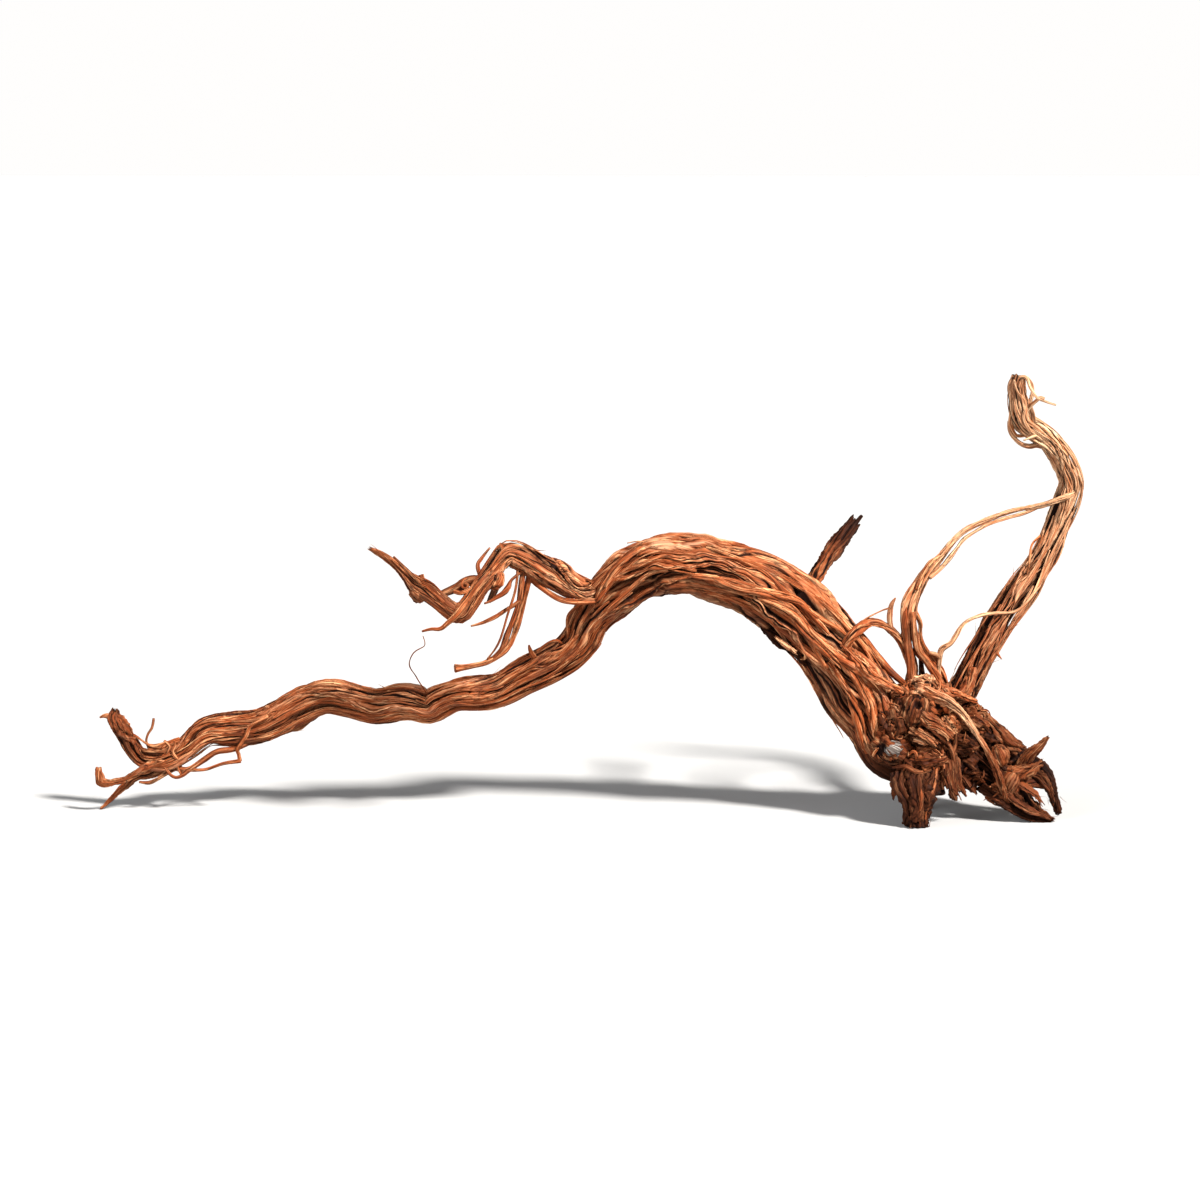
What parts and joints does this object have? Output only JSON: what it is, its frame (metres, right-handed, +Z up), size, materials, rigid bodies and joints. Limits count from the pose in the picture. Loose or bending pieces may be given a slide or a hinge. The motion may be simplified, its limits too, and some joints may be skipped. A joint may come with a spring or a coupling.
{
  "type": "spiderwood root",
  "caption": "Reddish-brown spiderwood root with a ropey arching trunk, broken stump, bent side branches and fine rootlets, for aquariums and terrariums.",
  "frame": {"origin": "middle of the footprint box, on the surface that the root rests on", "axes": "+X from the split tail to the stump's toe, +Y away from the front, +Z up"},
  "size_m": [0.5038, 0.095, 0.2242],
  "materials": {
    "wood": "dry, matt, stringy bark-free wood"
  },
  "bodies": {
    "root": {"spiderwood_root": "wood"}
  },
  "joints": []
}
